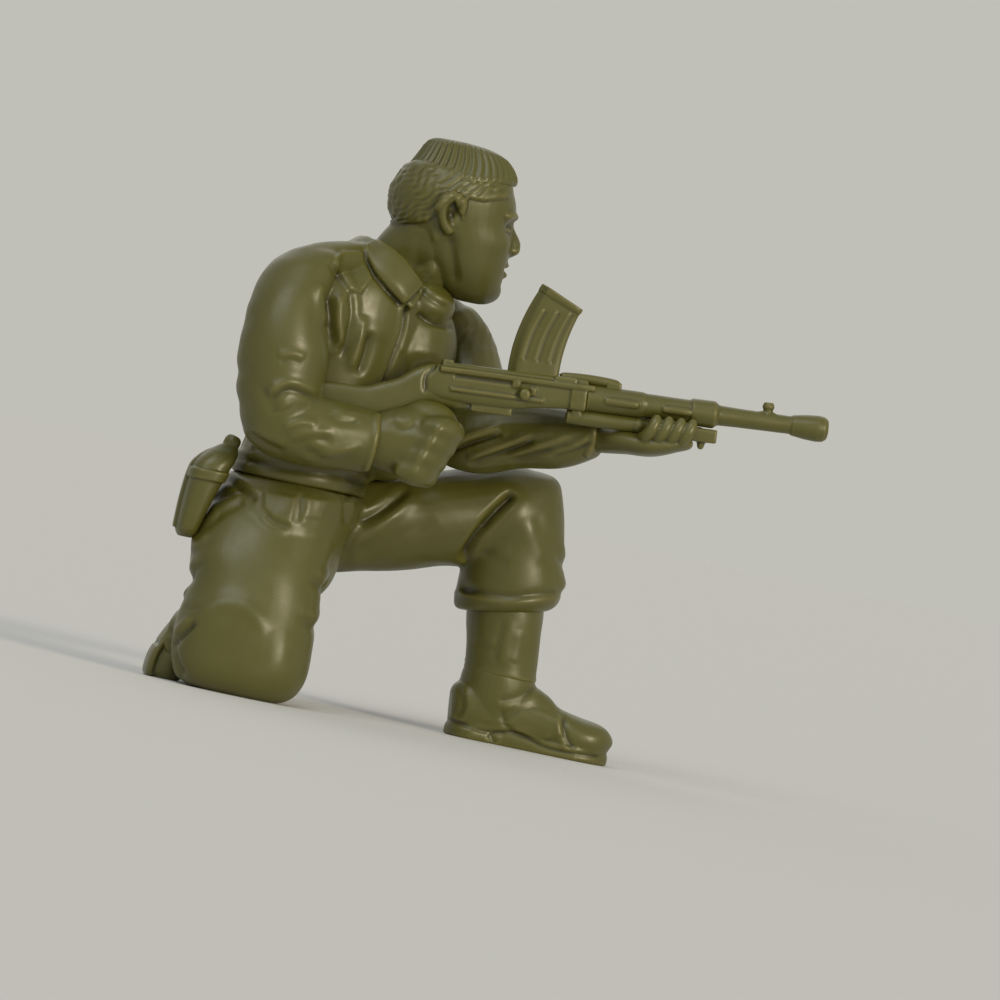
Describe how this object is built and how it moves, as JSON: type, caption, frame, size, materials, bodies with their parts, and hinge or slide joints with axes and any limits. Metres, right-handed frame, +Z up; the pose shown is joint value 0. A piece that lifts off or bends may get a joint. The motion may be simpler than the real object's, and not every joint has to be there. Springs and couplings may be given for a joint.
{
  "type": "toy soldier figure",
  "caption": "Kneeling toy soldier in a knit cap with a light machine gun, a push-fit plastic figure whose head, waist and magazine move.",
  "frame": {"origin": "middle of the figure's outline on the ground", "axes": "+X forward along the gun, +Y to the soldier's left, +Z up"},
  "size_m": [0.0412, 0.0165, 0.0391],
  "materials": {
    "olive_plastic": "satin"
  },
  "bodies": {
    "legs": {"hips": "olive_plastic", "right_leg": "olive_plastic", "right_boot": "olive_plastic", "left_leg": "olive_plastic", "left_gaiter": "olive_plastic", "left_boot": "olive_plastic", "water_bottle": "olive_plastic", "bottle_stopper": "olive_plastic"},
    "torso": {"jacket": "olive_plastic", "right_arm": "olive_plastic", "right_hand": "olive_plastic", "left_arm": "olive_plastic", "left_hand": "olive_plastic", "gun_body": "olive_plastic", "gun_barrel": "olive_plastic", "gas_tube": "olive_plastic", "carry_handle": "olive_plastic", "cocking_handle": "olive_plastic"},
    "head": {"head": "olive_plastic", "knit_cap": "olive_plastic"},
    "magazine": {"magazine": "olive_plastic"}
  },
  "joints": [
    {"name": "waist_turn", "type": "hinge", "parent": "legs", "child": "torso", "pos_m": [-0.01225, 0.00135, 0.0146], "axis": [0, 0, 1], "range_deg": [-10, 8]},
    {"name": "head_turn", "type": "hinge", "parent": "torso", "child": "head", "pos_m": [-0.00935, 0.00155, 0.0303], "axis": [0.4067, 0, 0.9135], "range_deg": [-40, 35]},
    {"name": "magazine_pull", "type": "slide", "parent": "torso", "child": "magazine", "axis": [-0.0767, 0, 0.9971], "range_m": [0, 0.0016]}
  ]
}
